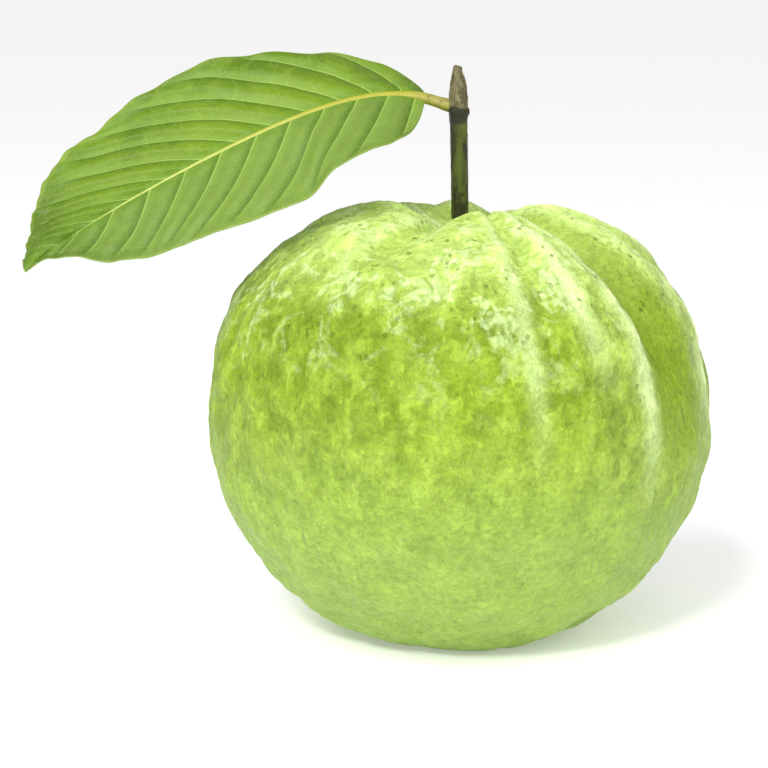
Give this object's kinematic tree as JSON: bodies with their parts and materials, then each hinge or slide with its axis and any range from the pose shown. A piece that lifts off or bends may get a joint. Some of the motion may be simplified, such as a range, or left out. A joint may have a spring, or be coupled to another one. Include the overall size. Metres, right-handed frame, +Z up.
{
  "type": "guava",
  "caption": "Round, ribbed lime-green guava standing on its blossom end, with a length of twig in its stem hollow and a leaf growing from the twig.",
  "frame": {"origin": "on the table plane, under the middle of the whole object's outline; the fruit's own axis is 19 mm along +X", "axes": "+Z up along the fruit's axis; +X away from the leaf's tip, along the object's length; +Y away from the side that the picture shows"},
  "size_m": [0.1362, 0.1006, 0.1159],
  "materials": {
    "rind": "satin",
    "twig": "matte",
    "leaf": "satin",
    "calyx": "matte"
  },
  "bodies": {
    "root": {"fruit": "rind", "twig": "twig", "leaf": "leaf", "calyx": "calyx"}
  },
  "joints": []
}
